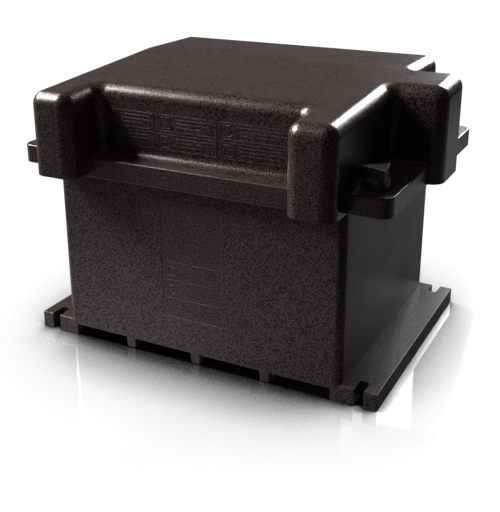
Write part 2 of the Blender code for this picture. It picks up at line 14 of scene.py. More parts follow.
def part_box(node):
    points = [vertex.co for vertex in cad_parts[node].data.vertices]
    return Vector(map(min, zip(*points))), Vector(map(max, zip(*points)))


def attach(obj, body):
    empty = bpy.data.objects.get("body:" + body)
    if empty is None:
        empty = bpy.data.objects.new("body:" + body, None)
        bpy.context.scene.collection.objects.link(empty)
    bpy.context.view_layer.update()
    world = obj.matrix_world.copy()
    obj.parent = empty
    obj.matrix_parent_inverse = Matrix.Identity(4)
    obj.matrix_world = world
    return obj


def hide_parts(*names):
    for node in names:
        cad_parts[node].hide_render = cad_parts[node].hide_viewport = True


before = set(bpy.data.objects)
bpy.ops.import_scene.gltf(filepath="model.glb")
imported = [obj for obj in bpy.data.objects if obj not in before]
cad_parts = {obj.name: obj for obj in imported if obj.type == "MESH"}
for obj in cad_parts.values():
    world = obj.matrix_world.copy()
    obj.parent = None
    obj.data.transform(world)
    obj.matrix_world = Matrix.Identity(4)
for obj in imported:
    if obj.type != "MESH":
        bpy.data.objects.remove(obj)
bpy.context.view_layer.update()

# ---- Dimensions ----------------------------------------------------------

LID_MIN, LID_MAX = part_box("lid")
TUB_MIN, TUB_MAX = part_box("tub")
WALL = 0.004

TUB_HALF = 0.19125                  # from the middle to the outside of the end walls
TUB_FRONT = TUB_MAX.y               # half of the tub's depth
TUB_CORNER = 0.010
TUB_UNDERSIDE = 0.014
RUNNER_SPACING = 0.095
RUNNER_WIDTH = 0.0135
FLANGE_HEIGHT = 0.021
FLANGE_INNER = 0.179
FLANGE_REACH = TUB_MAX.x
SLOT_CENTRE = 0.2138
SLOT_WIDTH = 0.012
SLOT_DEPTH = 0.024
FLANGE_POCKETS = 6

SKIRT_LOW = 0.2323                  # lower edge of the lobes, the hood and the end ledges
LEDGE_TOP = 0.2553
LEDGE_REACH = -LID_MIN.x
LEDGE_FRONT = -0.1665               # front and back ends of the ledges
LEDGE_BACK = LID_MAX.y
LEDGE_CORNER = 0.014
LEDGE_EDGE = 0.002
SHELF_FRONT = -0.1735               # shelf under the recessed panel
SHELF_LOW = LID_MIN.z
SHELF_TOP = 0.2535
BODY_HALF = 0.1935
BODY_BACK = 0.1645
PANEL_FRONT = -0.1445
LOBE_FRONT = LID_MIN.y
LOBE_INNER = 0.1365
HOOD_REACH = LID_MAX.x
HOOD_FRONT = -0.0290
HOOD_BACK = 0.0540
LID_TOP = LID_MAX.z
FRONT_DROP = 0.017                  # fall of the sloping top from the crease to the lobes' front
CREASE = 0.041
LID_EDGE = 0.016
LID_CORNER = 0.0165
LID_HOLLOW_CORNER = 0.010
FOOT_FILLET = 0.007                 # where the lid's walls rise from its ledges
SHELF_FILLET = 0.011                # where the front panel rises from its shelf

SHAFT_HOLE = 0.0054
EAR_LOW = 0.2395
EAR_THICK = 0.005
EAR_REACH = 0.2325
EAR_HALF = 0.022
EAR_SLOT_X = 0.00565
EAR_SLOT_Y = 0.0154
RIB_THICK = 0.003
RIB_INSET = 0.0025
KNOB_X = 0.2155
KNOB_Y = 0.134

KNOB_SEAT = LEDGE_TOP + 0.0005
KNOB_BOSS = 0.0135                  # radius of the round foot under the wings
WING_LOW = 0.2660
WING_HIGH = 0.2795
WING_REACH = 0.0205                 # from the axis to a wing's point
WING_CORNER = 0.0012
WING_POINT = math.radians(190)      # direction of the right front knob's inner point
DISH = 0.0009                       # depth of the hollow in a knob's top
SHAFT_RADIUS = 0.005
BAR_LENGTH = 0.028
BAR_WIDTH = 0.0085
BAR_THICK = 0.004
BAR_LOW = 0.2345
SCREW_BORE = 0.0023
SCREW_SHANK = 0.0019
SCREW_HEAD = 0.0042
SCREW_HEAD_THICK = 0.0024
SCREW_GRIP = 0.010

BATTERY_X = 0.0912                  # middle of each battery
BATTERY_WIDTH = 0.181
BATTERY_DEPTH = 0.260
BATTERY_CORNER = 0.005
BATTERY_WALL = 0.0035
CASE_WAIST = 0.0012                 # how far a case's sides draw in between its foot and its lip
COVER_RIM = 0.007                   # width of the raised rim round a cover
COVER_SINK = 0.0012                 # depth of the field inside the rim
COVER_EDGE = 0.003
COLLAR_DEPTH = 0.003                # length of the round collars at a cover's holes
CAP_COLLAR = 0.0025                 # their widths round a cap and round a post
POST_COLLAR = 0.004
SIGN_X = 0.021                      # from a post to its plus or minus sign
SIGN_ARM = 0.0055
SIGN_HALF = 0.0011                  # half of the width of a sign's arms
SIGN_HEIGHT = 0.0012
CELL_PITCH = 0.0845
CAP_HOLE = 0.0125
CAP_RADIUS = 0.017
CAP_HEAD = 0.005
CAP_FLUTES = 30
GRIP_WIDTH = 0.005
GRIP_LENGTH = 0.025
GRIP_TOP = 0.010
VENT_X = 0.009                      # from a cap's middle to its vent
VENT_RADIUS = 0.0035
POST_X = 0.045                      # from the battery's middle to its post line
POST_Y = 0.105
POST_RADIUS = 0.009
STUD_RADIUS = 0.004
THREAD_PITCH = 0.00125
THREAD_DEPTH = 0.0006
NUT_RADIUS = 0.0075                 # to the nut's corners
NUT_CHAMFER = 0.0009
LUG_THICK = 0.003
LUG_TONGUE = 0.014
LUG_TONGUE_HALF = 0.006
BARREL_RADIUS = 0.0064
BARREL_LENGTH = 0.014
BARREL_MIDDLE = 0.019
BARREL_LIFT = 0.0045
BORE_PLAY = 0.0004                  # between a stud and what sits on it
CABLE_SIDES = 32
LINK_RADIUS = 0.0055
LINK_STEPS = 48
LINK_RISE = 0.005                   # height of the series link's hump
LINK_BOW = 0.003                    # its sideways bow

RELIEF = 0.00042                    # height of the raised marks on the lid and the tub
RELIEF_SLOPE = 0.0007               # width of their sloping edges
LABEL_LOW = (-0.0437, 0.059)        # sunk label field on the tub's front, as (x, z) corners
LABEL_HIGH = (0.0399, 0.209)

CAMERA_PLACE = (0.4971, -0.9897, 0.5497)
CAMERA_TILT = 90 - 19.39            # degrees from straight down
CAMERA_TURN = 26.90
CAMERA_LENS = 61.86
CAMERA_SHIFT = -0.1
FLOOR_RADIUS = 12.0
PAINTED_SHADE_NEAR = 0.24                    # from the middle of the box to where the painted shade round it ends and its mirror image fades
PAINTED_SHADE_FAR = 0.42
CARD_PLACE = (-0.10, -0.20, 0.0)    # pale part of the floor that lights the box's front
CARD_NEAR = 0.05
CARD_FAR = 0.50
GLOW_PLACE = (0.50, 0.55, 0.0)      # painted glow: part of the floor that emits light for the right-hand end to mirror
GLOW_NEAR = 0.35
GLOW_FAR = 0.90
CARD_TONES = (0.50, 0.05)           # in the card's middle and outside it
GLOW_TONES = (0.17, 0.0)
FLOOR_TONES = (0.86, 1.02)          # what the camera sees of the floor: darker near the box as painted shade, white far off
PAINTED_SHADOW_REACH = 0.16                # how far the painted shadow at the box's foot reaches across the floor
PAINTED_SHADOW_LEVELS = (0.53, 0.92)       # openness at which the painted shadow makes the floor black and at which it is white
FLAG_LOW = (-0.10, 0.30, 0.13)      # corners of the black card behind the box
FLAG_HIGH = (0.50, 0.304, 0.27)
WORLD_FRONT = 0.045                 # strength of the world's light from the front and the back
WORLD_BACK = 0.13

ARC = 10                            # steps of a quarter-turn arc
SQUARE = 0.0001                     # radius of a corner that is as good as square
QUARTER = math.radians(90)


# ---- Outlines ------------------------------------------------------------

def edge_directions(corners, index):
    """Unit directions of the edges that arrive at and leave one corner of an outline."""
    here = Vector(corners[index][:2])
    previous = Vector(corners[index - 1][:2])
    following = Vector(corners[(index + 1) % len(corners)][:2])
    return (here - previous).normalized(), (following - here).normalized()


def rounded_outline(corners, arc_steps):
    """Points of an anticlockwise outline through (x, y, radius) corners, with an arc at each."""
    points = []
    for index, (x, y, radius) in enumerate(corners):
        arriving, leaving = edge_directions(corners, index)
        turn = math.atan2(arriving.cross(leaving), arriving.dot(leaving))
        tangent = radius * abs(math.tan(turn / 2))
        start = Vector((x, y)) - arriving * tangent
        side = math.copysign(radius, turn)
        centre = start + Vector((-arriving.y, arriving.x)) * side
        for step in range(arc_steps + 1):
            spin = Matrix.Rotation(turn * step / arc_steps, 2)
            points.append(centre + spin @ (start - centre))
    return points


def inset(corners, distance):
    """The same corners moved inwards. Outer radii shrink and inner radii grow."""
    moved = []
    for index, (x, y, radius) in enumerate(corners):
        arriving, leaving = edge_directions(corners, index)
        first = Vector((-arriving.y, arriving.x))
        second = Vector((-leaving.y, leaving.x))
        shift = (first + second) * (distance / (1 + first.dot(second)))
        bend = math.copysign(1, arriving.cross(leaving))
        moved.append((x + shift.x, y + shift.y, max(radius - bend * distance, SQUARE)))
    return moved


def rectangle(low_x, low_y, high_x, high_y, radius):
    places = ((low_x, low_y), (high_x, low_y), (high_x, high_y), (low_x, high_y))
    return [(x, y, radius) for x, y in places]


def centred(x, y, half_x, half_y, radius):
    """A rectangle about its middle."""
    return rectangle(x - half_x, y - half_y, x + half_x, y + half_y, radius)


def quarter_arc(steps):
    """Sine and cosine at even steps of a quarter turn."""
    for step in range(steps + 1):
        angle = QUARTER * step / steps
        yield math.sin(angle), math.cos(angle)


def domed_levels(corners, bottom, top, edge_radius, edge_steps, foot_radius=0.0):
    """Levels of a prism whose top edge is rounded, and its bottom edge if it has a foot radius."""
    levels = []
    if foot_radius:
        for sine, cosine in quarter_arc(4):
            shrink = foot_radius * (1 - sine)
            levels.append((inset(corners, shrink), bottom + foot_radius * (1 - cosine)))
    else:
        levels.append((corners, bottom))
    for sine, cosine in quarter_arc(edge_steps):
        shrink = edge_radius * (1 - cosine)
        levels.append((inset(corners, shrink), top - edge_radius * (1 - sine)))
    return levels


def flare_levels(corners, foot, radius, sink):
    """Levels of a skirt that spreads in a quarter arc down to a foot, its tips sunk a little."""
    levels = [(inset(corners, -radius), foot - sink * 4)]
    for sine, cosine in quarter_arc(ARC):
        spread = radius * (1 - sine) - sink
        levels.append((inset(corners, -spread), foot + radius * (1 - cosine) - sink))
    return levels


# ---- Mesh tools ----------------------------------------------------------

def make_object(name, bm):
    bmesh.ops.recalc_face_normals(bm, faces=bm.faces)
    mesh = bpy.data.meshes.new(name)
    bm.to_mesh(mesh)
    bm.free()
    item = bpy.data.objects.new(name, mesh)
    bpy.context.collection.objects.link(item)
    return item


def lofted(name, levels, arc_steps=ARC):
    """A closed solid through (corners, height) levels, from the bottom up."""
    loops = []
    for corners, height in levels:
        points = rounded_outline(corners, arc_steps)
        loops.append([(point.x, point.y, height) for point in points])
    return ring_solid(name, loops)


def prism(name, corners, bottom, top, arc_steps=ARC):
    return lofted(name, [(corners, bottom), (corners, top)], arc_steps)


def block(name, low, high):
    low_x, low_y, low_z = low
    high_x, high_y, high_z = high
    return prism(name, rectangle(low_x, low_y, high_x, high_y, SQUARE), low_z, high_z, 1)


def turned(name, profile, about=(0.0, 0.0), sides=48):
    """A solid turned about an upright axis from (radius, height) points, both ends on the axis."""
    bm = bmesh.new()
    rings = []
    for radius, height in profile:
        ring = []
        for index in range(sides if radius else 1):
            angle = math.tau * index / sides
            x = about[0] + radius * math.cos(angle)
            y = about[1] + radius * math.sin(angle)
            ring.append(bm.verts.new((x, y, height)))
        rings.append(ring)
    for first, second in zip(rings, rings[1:]):
        for index in range(sides):
            following = (index + 1) % sides
            corners = [first[index % len(first)], first[following % len(first)]]
            corners += [second[following % len(second)], second[index % len(second)]]
            bm.faces.new(list(dict.fromkeys(corners)))
    return make_object(name, bm)


def cylinder(name, radius, low, high, about, sides=48):
    return turned(name, [(0, low), (radius, low), (radius, high), (0, high)], about, sides)


def bridge(bm, first, second):
    """Faces between two loops of equal length."""
    for index in range(len(first)):
        following = (index + 1) % len(first)
        bm.faces.new((first[index], first[following], second[following], second[index]))


def ring_solid(name, loops):
    """A closed solid through loops of points."""
    bm = bmesh.new()
    rings = [[bm.verts.new(point) for point in loop] for loop in loops]
    for first, second in zip(rings, rings[1:]):
        bridge(bm, first, second)
    bm.faces.new(list(reversed(rings[0])))
    bm.faces.new(rings[-1])
    return make_object(name, bm)


def bake(item):
    """Apply an object's modifiers to its mesh."""
    graph = bpy.context.evaluated_depsgraph_get()
    mesh = bpy.data.meshes.new_from_object(item.evaluated_get(graph))
    item.modifiers.clear()
    item.data = mesh


def combine(target, tools, operation):
    """Join tools on a target, or cut them from it, one exact Boolean after another."""
    for tool in tools:
        modifier = target.modifiers.new("combine", 'BOOLEAN')
        modifier.operation = operation
        modifier.object = tool
        bake(target)
        bpy.data.objects.remove(tool)


def finish_mesh(item, material, body, node=None, sharp=32):
    """Shade a piece, give it its material and fasten it to its body."""
    mesh = item.data
    bm = bmesh.new()
    bm.from_mesh(mesh)
    bmesh.ops.dissolve_limit(bm, angle_limit=math.radians(0.05), verts=bm.verts, edges=bm.edges)
    bm.to_mesh(mesh)
    bm.free()
    mesh.shade_smooth()
    mesh.set_sharp_from_angle(angle=math.radians(sharp))
    mesh.materials.clear()
    mesh.materials.append(MATERIALS[material])
    normals = item.modifiers.new("weighted normals", 'WEIGHTED_NORMAL')
    normals.keep_sharp = True
    normals.weight = 100
    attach(item, body)
    if node:
        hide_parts(node)


def knob_places():
    """Name, x and y of the four knobs."""
    for side_name, side in (("left", -1), ("right", 1)):
        for end_name, end in (("front", -1), ("rear", 1)):
            yield f"{end_name}_{side_name}", side * KNOB_X, end * KNOB_Y


# ---- Materials -----------------------------------------------------------

def link(tree, out_node, out_name, in_node, in_name):
    tree.links.new(out_node.outputs[out_name], in_node.inputs[in_name])


def noise(tree, place, size, detail):
    """Noise in the object's own space, with grains of one size in metres."""
    texture = tree.nodes.new("ShaderNodeTexNoise")
    texture.inputs["Scale"].default_value = 1 / size
    texture.inputs["Detail"].default_value = detail
    link(tree, place, "Object", texture, "Vector")
    return texture


def ramp(tree, texture, first, first_colour, last, last_colour):
    """Colours between two levels of a texture."""
    node = tree.nodes.new("ShaderNodeValToRGB")
    node.color_ramp.elements[0].position = first
    node.color_ramp.elements[0].color = (*first_colour, 1)
    node.color_ramp.elements[1].position = last
    node.color_ramp.elements[1].color = (*last_colour, 1)
    link(tree, texture, "Fac", node, "Fac")
    return node


def mapped(tree, source, output, near, far, low=0.0, high=1.0, smooth=False):
    """Turn a node's values from near to far into values from low to high."""
    node = tree.nodes.new("ShaderNodeMapRange")
    node.interpolation_type = 'SMOOTHSTEP' if smooth else 'LINEAR'
    for name, value in (("From Min", near), ("From Max", far), ("To Min", low), ("To Max", high)):
        node.inputs[name].default_value = value
    link(tree, source, output, node, "Value")
    return node


def uneven(tree, texture, shader, name, low, high):
    """Let a texture move one of the shader's values between two limits."""
    link(tree, mapped(tree, texture, "Fac", 0.3, 0.7, low, high), "Result", shader, name)


def bump(tree, texture, depth, strength, under=None):
    node = tree.nodes.new("ShaderNodeBump")
    node.inputs["Strength"].default_value = strength
    node.inputs["Distance"].default_value = depth
    link(tree, texture, "Fac", node, "Height")
    if under:
        link(tree, under, "Normal", node, "Normal")
    return node


def new_material(name):
    """A material with its node tree and its shader."""
    material = bpy.data.materials.new(name)
    material.use_nodes = True
    return material, material.node_tree, material.node_tree.nodes["Principled BSDF"]


def grained_plastic(name, dark, light, gloss, roughness, grain, depth):
    """Moulded plastic: two sizes of leather grain, speckled colour and uneven gloss."""
    material, tree, shader = new_material(name)
    shader.inputs["IOR"].default_value = 1.49
    shader.inputs["Specular Tint"].default_value = (1.0, 0.91, 0.89, 1)
    place = tree.nodes.new("ShaderNodeTexCoord")
    coarse = noise(tree, place, grain, 2.0)
    fine = noise(tree, place, grain * 0.75, 1.0)
    cloud = noise(tree, place, 0.07, 4.0)
    tint = ramp(tree, fine, 0.40, dark, 0.60, light)
    link(tree, tint, "Color", shader, "Base Color")
    uneven(tree, fine, shader, "Specular IOR Level", gloss * 0.5, gloss * 1.5)
    uneven(tree, cloud, shader, "Roughness", roughness - 0.04, roughness + 0.06)
    first = bump(tree, coarse, depth, 0.6)
    second = bump(tree, fine, depth * 0.5, 0.5, first)
    link(tree, second, "Normal", shader, "Normal")
    return material


def metal(name, dark, light, roughness, grain, depth):
    """Metal with stains, uneven gloss and a fine grain."""
    material, tree, shader = new_material(name)
    shader.inputs["Metallic"].default_value = 1.0
    place = tree.nodes.new("ShaderNodeTexCoord")
    stain = noise(tree, place, grain * 6, 5.0)
    fine = noise(tree, place, grain, 2.0)
    tint = ramp(tree, stain, 0.35, dark, 0.65, light)
    link(tree, tint, "Color", shader, "Base Color")
    uneven(tree, stain, shader, "Roughness", roughness - 0.06, roughness + 0.12)
    link(tree, bump(tree, fine, depth, 0.5), "Normal", shader, "Normal")
    return material


PLASTICS = {                        # dark and light colour, gloss, roughness, grain size and depth
    "lid_plastic": ((0.003, 0.002, 0.002), (0.036, 0.023, 0.021), 0.42, 0.27, 0.0022, 0.00022),
    "tub_plastic": ((0.004, 0.003, 0.003), (0.044, 0.031, 0.029), 0.20, 0.34, 0.0022, 0.00022),
    "knob_plastic": ((0.030, 0.026, 0.025), (0.080, 0.070, 0.067), 0.42, 0.26, 0.0012, 0.0001),
    "case_plastic": ((0.075, 0.012, 0.009), (0.110, 0.020, 0.015), 0.42, 0.34, 0.0016, 0.00015),
    "cover_plastic": ((0.014, 0.013, 0.013), (0.036, 0.034, 0.034), 0.42, 0.36, 0.0014, 0.0002),
    "cap_plastic": ((0.50, 0.34, 0.02), (0.62, 0.44, 0.04), 0.42, 0.34, 0.0012, 0.0001),
    "cable_jacket": ((0.010, 0.010, 0.010), (0.028, 0.028, 0.028), 0.4, 0.45, 0.0010, 0.00012),
}
METALS = {                          # dark and light colour, roughness, grain size and depth
    "zinc_steel": ((0.50, 0.50, 0.46), (0.68, 0.68, 0.66), 0.26, 0.0009, 0.00005),
    "lead": ((0.22, 0.23, 0.25), (0.42, 0.43, 0.45), 0.46, 0.0012, 0.0002),
    "tinned_copper": ((0.58, 0.54, 0.50), (0.76, 0.73, 0.70), 0.24, 0.0010, 0.00006),
}


MATERIALS = {name: grained_plastic(name, *values) for name, values in PLASTICS.items()}
MATERIALS.update({name: metal(name, *values) for name, values in METALS.items()})


# ---- Raised marks --------------------------------------------------------

def relief_loop(bm, corners, height, front):
    """One loop of an outline in the XZ plane, a height in front of a wall that faces -Y."""
    points = rounded_outline(corners, 4)
    return [bm.verts.new((point.x, front - height, point.y)) for point in points]


def relief_side(bm, foot, top, front):
    """One sloping side of a raised shape. Gives its loops inside the wall and on the raised top."""
    sunk = relief_loop(bm, foot, -RELIEF, front)
    level = relief_loop(bm, foot, 0, front)
    raised = relief_loop(bm, top, RELIEF, front)
    bridge(bm, sunk, level)
    bridge(bm, level, raised)
    return sunk, raised


def add_bar(bm, low_x, low_z, high_x, high_z, front):
    """A raised bar with rounded ends and sloping edges."""
    radius = min(high_x - low_x, high_z - low_z) * 0.45
    corners = rectangle(low_x, low_z, high_x, high_z, radius)
    top = inset(corners, min(RELIEF_SLOPE, radius))
    sunk, raised = relief_side(bm, corners, top, front)
    bm.faces.new(sunk)
    bm.faces.new(list(reversed(raised)))


def add_band(bm, corners, width, front):
    """A raised line of one width that closes on itself."""
    slope = min(RELIEF_SLOPE, width * 0.45)
    inner = inset(corners, width)
    outer_sunk, outer_raised = relief_side(bm, corners, inset(corners, slope), front)
    inner_sunk, inner_raised = relief_side(bm, inner, inset(corners, width - slope), front)
    bridge(bm, outer_raised, inner_raised)
    bridge(bm, outer_sunk, inner_sunk)


def ring_corners(x, z, radius):
    return centred(x, z, radius, radius, radius * 0.999)


def add_text_lines(bm, low_x, high_x, top_z, count, pitch, front):
    """Plain bars in place of lines of text, the last one short."""
    for index in range(count):
        end = high_x if index < count - 1 else low_x + (high_x - low_x) * 0.7
        z = top_z - index * pitch
        add_bar(bm, low_x, z - pitch * 0.22, end, z + pitch * 0.22, front)


# ---- Tub -----------------------------------------------------------------

def tub_flange(side):
    """Hold-down flange along one end, slotted at both ends and cored from below."""
    inner, outer = sorted((side * FLANGE_INNER, side * FLANGE_REACH))
    outline = rectangle(inner, -TUB_FRONT, outer, TUB_FRONT, 0.0015)
    flange = lofted("flange", domed_levels(outline, 0, FLANGE_HEIGHT, 0.0012, 4, 0.001), 4)
    cuts = []
    for end in (-1, 1):
        near, far = sorted((end * (TUB_FRONT - SLOT_DEPTH), end * (TUB_FRONT + SLOT_WIDTH)))
        low = side * SLOT_CENTRE - SLOT_WIDTH / 2
        outline = rectangle(low, near, low + SLOT_WIDTH, far, SLOT_WIDTH * 0.45)
        cuts.append(prism("slot", outline, -WALL, FLANGE_HEIGHT + WALL))
    cored_half = TUB_FRONT - SLOT_DEPTH - 2 * WALL
    pitch = 2 * cored_half / FLANGE_POCKETS
    for index in range(FLANGE_POCKETS):
        start = -cored_half + index * pitch + WALL / 2
        low = (inner + WALL, start, -WALL)
        high = (outer - WALL, start + pitch - WALL, TUB_UNDERSIDE)
        cuts.append(block("core", low, high))
    combine(flange, cuts, 'DIFFERENCE')
    return flange


def tub_runner(index):
    """Tapered runner under the floor, from front to back."""
    foot = centred(index * RUNNER_SPACING, 0, RUNNER_WIDTH / 2, TUB_FRONT, 0.0015)
    levels = [
        (inset(foot, 0.0025), 0),
        (inset(foot, 0.001), 0.0015),
        (foot, TUB_UNDERSIDE + WALL / 2),
    ]
    return lofted("runner", levels, 4)


def tub_ear(knob_x, knob_y):
    """Slotted ear on the end wall that a latch bar grips from below."""
    side = math.copysign(1, knob_x)
    inner, outer = sorted((side * (TUB_HALF - WALL / 2), side * EAR_REACH))
    outline = rectangle(inner, knob_y - EAR_HALF, outer, knob_y + EAR_HALF, WALL)
    ear = prism("ear", outline, EAR_LOW, EAR_LOW + EAR_THICK, 6)
    low = (knob_x - EAR_SLOT_X, knob_y - EAR_SLOT_Y, EAR_LOW - WALL)
    high = (knob_x + EAR_SLOT_X, knob_y + EAR_SLOT_Y, EAR_LOW + 2 * EAR_THICK)
    combine(ear, [block("ear_slot", low, high)], 'DIFFERENCE')
    return ear


def label_recess():
    """Cutter of the sunk label field in the tub's front wall."""
    bm = bmesh.new()
    corners = rectangle(*LABEL_LOW, *LABEL_HIGH, 0.004)
    sunk = relief_loop(bm, inset(corners, RELIEF), -RELIEF, -TUB_FRONT)
    proud = relief_loop(bm, inset(corners, -RELIEF), RELIEF, -TUB_FRONT)
    bridge(bm, sunk, proud)
    bm.faces.new(sunk)
    bm.faces.new(list(reversed(proud)))
    return make_object("label_recess", bm)


def make_tub():
    outside = centred(0, 0, TUB_HALF, TUB_FRONT, TUB_CORNER)
    tub = lofted("tub_moulding", domed_levels(outside, TUB_UNDERSIDE, TUB_MAX.z, 0.001, 3, 0.002))
    parts = [tub_flange(side) for side in (-1, 1)]
    parts += [tub_runner(index) for index in (-1, 0, 1)]
    parts += [tub_ear(knob_x, knob_y) for _, knob_x, knob_y in knob_places()]
    combine(tub, parts, 'UNION')
    inside = prism("hollow", inset(outside, WALL), TUB_UNDERSIDE + WALL, TUB_MAX.z + WALL)
    combine(tub, [inside, label_recess()], 'DIFFERENCE')
    finish_mesh(tub, "tub_plastic", "tub", "tub")


def make_tub_label():
    """Generic ring, battery outline and bars on the sunk field."""
    bm = bmesh.new()
    front = RELIEF - TUB_FRONT
    low_x, low_z = LABEL_LOW
    high_x, high_z = LABEL_HIGH
    middle = (low_x + high_x) / 2
    ring_z = high_z - 0.040
    add_band(bm, ring_corners(middle, ring_z, 0.0265), 0.0022, front)
    add_band(bm, centred(middle, ring_z - 0.002, 0.013, 0.008, 0.002), 0.0018, front)
    for side in (-1, 1):
        stud = middle + side * 0.0075
        add_bar(bm, stud - 0.0025, ring_z + 0.0072, stud + 0.0025, ring_z + 0.0105, front)
    row_pitch = 0.024
    first = low_z + 0.073
    for row in range(3):
        row_top = first - row * row_pitch
        add_bar(bm, low_x + 0.006, row_top, high_x - 0.006, row_top + 0.0011, front)
        add_text_lines(bm, low_x + 0.024, high_x - 0.010, row_top - 0.0045, 4, 0.0042, front)
    sign_x = low_x + 0.014
    sign_z = first - row_pitch / 2
    add_band(bm, centred(sign_x, sign_z, 0.006, 0.006, 0.0015), 0.001, front)
    add_band(bm, ring_corners(sign_x, sign_z - row_pitch, 0.006), 0.001, front)
    marks = make_object("tub_label_marks", bm)
    finish_mesh(marks, "tub_plastic", "tub")


# ---- Lid -----------------------------------------------------------------

def lid_outline():
    """Plan of the lid above its skirt: two front lobes, the recess between them and the hood."""
    outer = LID_CORNER
    hollow = LID_HOLLOW_CORNER
    return [
        (-BODY_HALF, LOBE_FRONT, outer),
        (-LOBE_INNER, LOBE_FRONT, outer),
        (-LOBE_INNER, PANEL_FRONT, hollow),
        (LOBE_INNER, PANEL_FRONT, hollow),
        (LOBE_INNER, LOBE_FRONT, outer),
        (BODY_HALF, LOBE_FRONT, outer),
        (BODY_HALF, HOOD_FRONT, hollow),
        (HOOD_REACH, HOOD_FRONT, outer),
        (HOOD_REACH, HOOD_BACK, outer),
        (BODY_HALF, HOOD_BACK, hollow),
        (BODY_HALF, BODY_BACK, outer),
        (-BODY_HALF, BODY_BACK, outer),
    ]


def slope_drop(y):
    """How far the sloping top lies below its level rear part."""
    run = (CREASE - y) / (CREASE - LOBE_FRONT)
    return max(run, 0) * FRONT_DROP


def lid_body(name, corners, bottom, top, edge_radius):
    """A domed block over the lid's plan, whose top slopes down from the crease to the front."""
    item = lofted(name, domed_levels(corners, bottom, top, edge_radius, ARC))
    bm = bmesh.new()
    bm.from_mesh(item.data)
    everything = bm.verts[:] + bm.edges[:] + bm.faces[:]
    bmesh.ops.bisect_plane(bm, geom=everything, plane_co=(0, CREASE, 0), plane_no=(0, 1, 0))
    for vert in bm.verts:
        if vert.co.z > LEDGE_TOP:
            vert.co.z -= slope_drop(vert.co.y)
    bm.to_mesh(item.data)
    bm.free()
    return item


def foot_fillet(plan, low_x, low_y, high_x, high_y, foot, radius=FOOT_FILLET):
    """The part of a concave skirt round the lid's walls that lies over one flat surface."""
    fillet = lofted("fillet", flare_levels(plan, foot, radius, 0.0001))
    low = (low_x, low_y, foot - 0.0003)
    high = (high_x, high_y, foot + 2 * radius)
    combine(fillet, [block("over_foot", low, high)], 'INTERSECT')
    return fillet


def lid_ribs(knob_x, knob_y):
    """Two ribs under a ledge, which end just above the ear's ends."""
    side = math.copysign(1, knob_x)
    inner, outer = sorted((side * BODY_HALF, side * (LEDGE_REACH - WALL / 2)))
    for end in (-1, 1):
        middle = knob_y + end * (EAR_HALF - RIB_INSET)
        low = (inner, middle - RIB_THICK / 2, EAR_LOW + EAR_THICK + 0.0005)
        high = (outer, middle + RIB_THICK / 2, LEDGE_TOP - WALL / 2)
        yield block("rib", low, high)


def make_lid():
    plan = lid_outline()
    edge = LEDGE_EDGE
    ledges = rectangle(-LEDGE_REACH, LEDGE_FRONT, LEDGE_REACH, LEDGE_BACK, LEDGE_CORNER)
    shelf_half = LOBE_INNER + WALL / 2
    shelf = rectangle(-shelf_half, SHELF_FRONT, shelf_half, 0, 0.0005)
    lid = lofted("lid_moulding", domed_levels(ledges, SKIRT_LOW, LEDGE_TOP, edge, 5, 0.0008))
    sunk_low = (-shelf_half, SHELF_FRONT, SHELF_TOP - 0.0005)
    sunk_high = (shelf_half, -TUB_FRONT / 2, LEDGE_TOP + WALL)
    combine(lid, [block("over_shelf", sunk_low, sunk_high)], 'DIFFERENCE')
    far = LEDGE_REACH - edge
    front = LEDGE_FRONT + edge
    back = LEDGE_BACK - edge
    panel_low = (edge - shelf_half, SHELF_FRONT + edge)
    panel_high = (shelf_half - edge, -TUB_FRONT / 2)
    combine(lid, [
        lid_body("body", plan, SKIRT_LOW, LID_TOP, LID_EDGE),
        lofted("shelf", domed_levels(shelf, SHELF_LOW, SHELF_TOP, edge, 5, 0.0008), 1),
        foot_fillet(plan, -far, front, -BODY_HALF + WALL, back, LEDGE_TOP),
        foot_fillet(plan, BODY_HALF - WALL, front, far, back, LEDGE_TOP),
        foot_fillet(plan, *panel_low, *panel_high, SHELF_TOP, SHELF_FILLET),
    ], 'UNION')
    deep = SHELF_LOW - WALL
    shelf_hollow_low = (-LOBE_INNER, SHELF_FRONT + WALL, deep - 2 * WALL)
    combine(lid, [
        lid_body("body_hollow", inset(plan, WALL), deep, LID_TOP - WALL, LID_EDGE - WALL),
        prism("ledge_hollow", inset(ledges, WALL), deep - WALL, LEDGE_TOP - WALL),
        block("shelf_hollow", shelf_hollow_low, (LOBE_INNER, 0, SHELF_TOP - WALL)),
    ], 'DIFFERENCE')
    for _, knob_x, knob_y in knob_places():
        combine(lid, lid_ribs(knob_x, knob_y), 'UNION')
        about = (knob_x, knob_y)
        hole = cylinder("hole", SHAFT_HOLE, LEDGE_TOP - 2 * WALL, LEDGE_TOP + WALL, about, 32)
        combine(lid, [hole], 'DIFFERENCE')
    finish_mesh(lid, "lid_plastic", "lid", "lid")


def make_panel_marks():
    """Generic frames, squares and bars on the recessed front panel."""
    bm = bmesh.new()
    front = PANEL_FRONT
    low_z = SHELF_TOP + 0.012
    high_z = low_z + 0.044
    middle_z = (low_z + high_z) / 2
    columns = ((-0.130, -0.058), (-0.054, 0.026), (0.030, 0.124))
    rows = ((middle_z + 0.001, high_z), (low_z, middle_z - 0.001))
    for column, (low_x, high_x) in enumerate(columns):
        for row, (low, high) in enumerate(rows):
            add_band(bm, rectangle(low_x, low, high_x, high, 0.002), 0.0018, front)
            half = (high - low) / 2 - 0.003
            x = low_x + 0.004 + half
            z = (low + high) / 2
            if column == 2 and row == 0:
                sign = ring_corners(x, z, half)
            else:
                sign = centred(x, z, half, half, 0.0015)
            add_band(bm, sign, 0.0018, front)
            add_bar(bm, x - half * 0.4, z - 0.0015, x + half * 0.4, z + 0.0015, front)
            text_x = x + half + 0.006
            add_text_lines(bm, text_x, high_x - 0.006, high - 0.0052, 3, 0.0046, front)
    marks = make_object("lid_panel_marks", bm)
    finish_mesh(marks, "lid_plastic", "lid")


# ---- Latches -------------------------------------------------------------

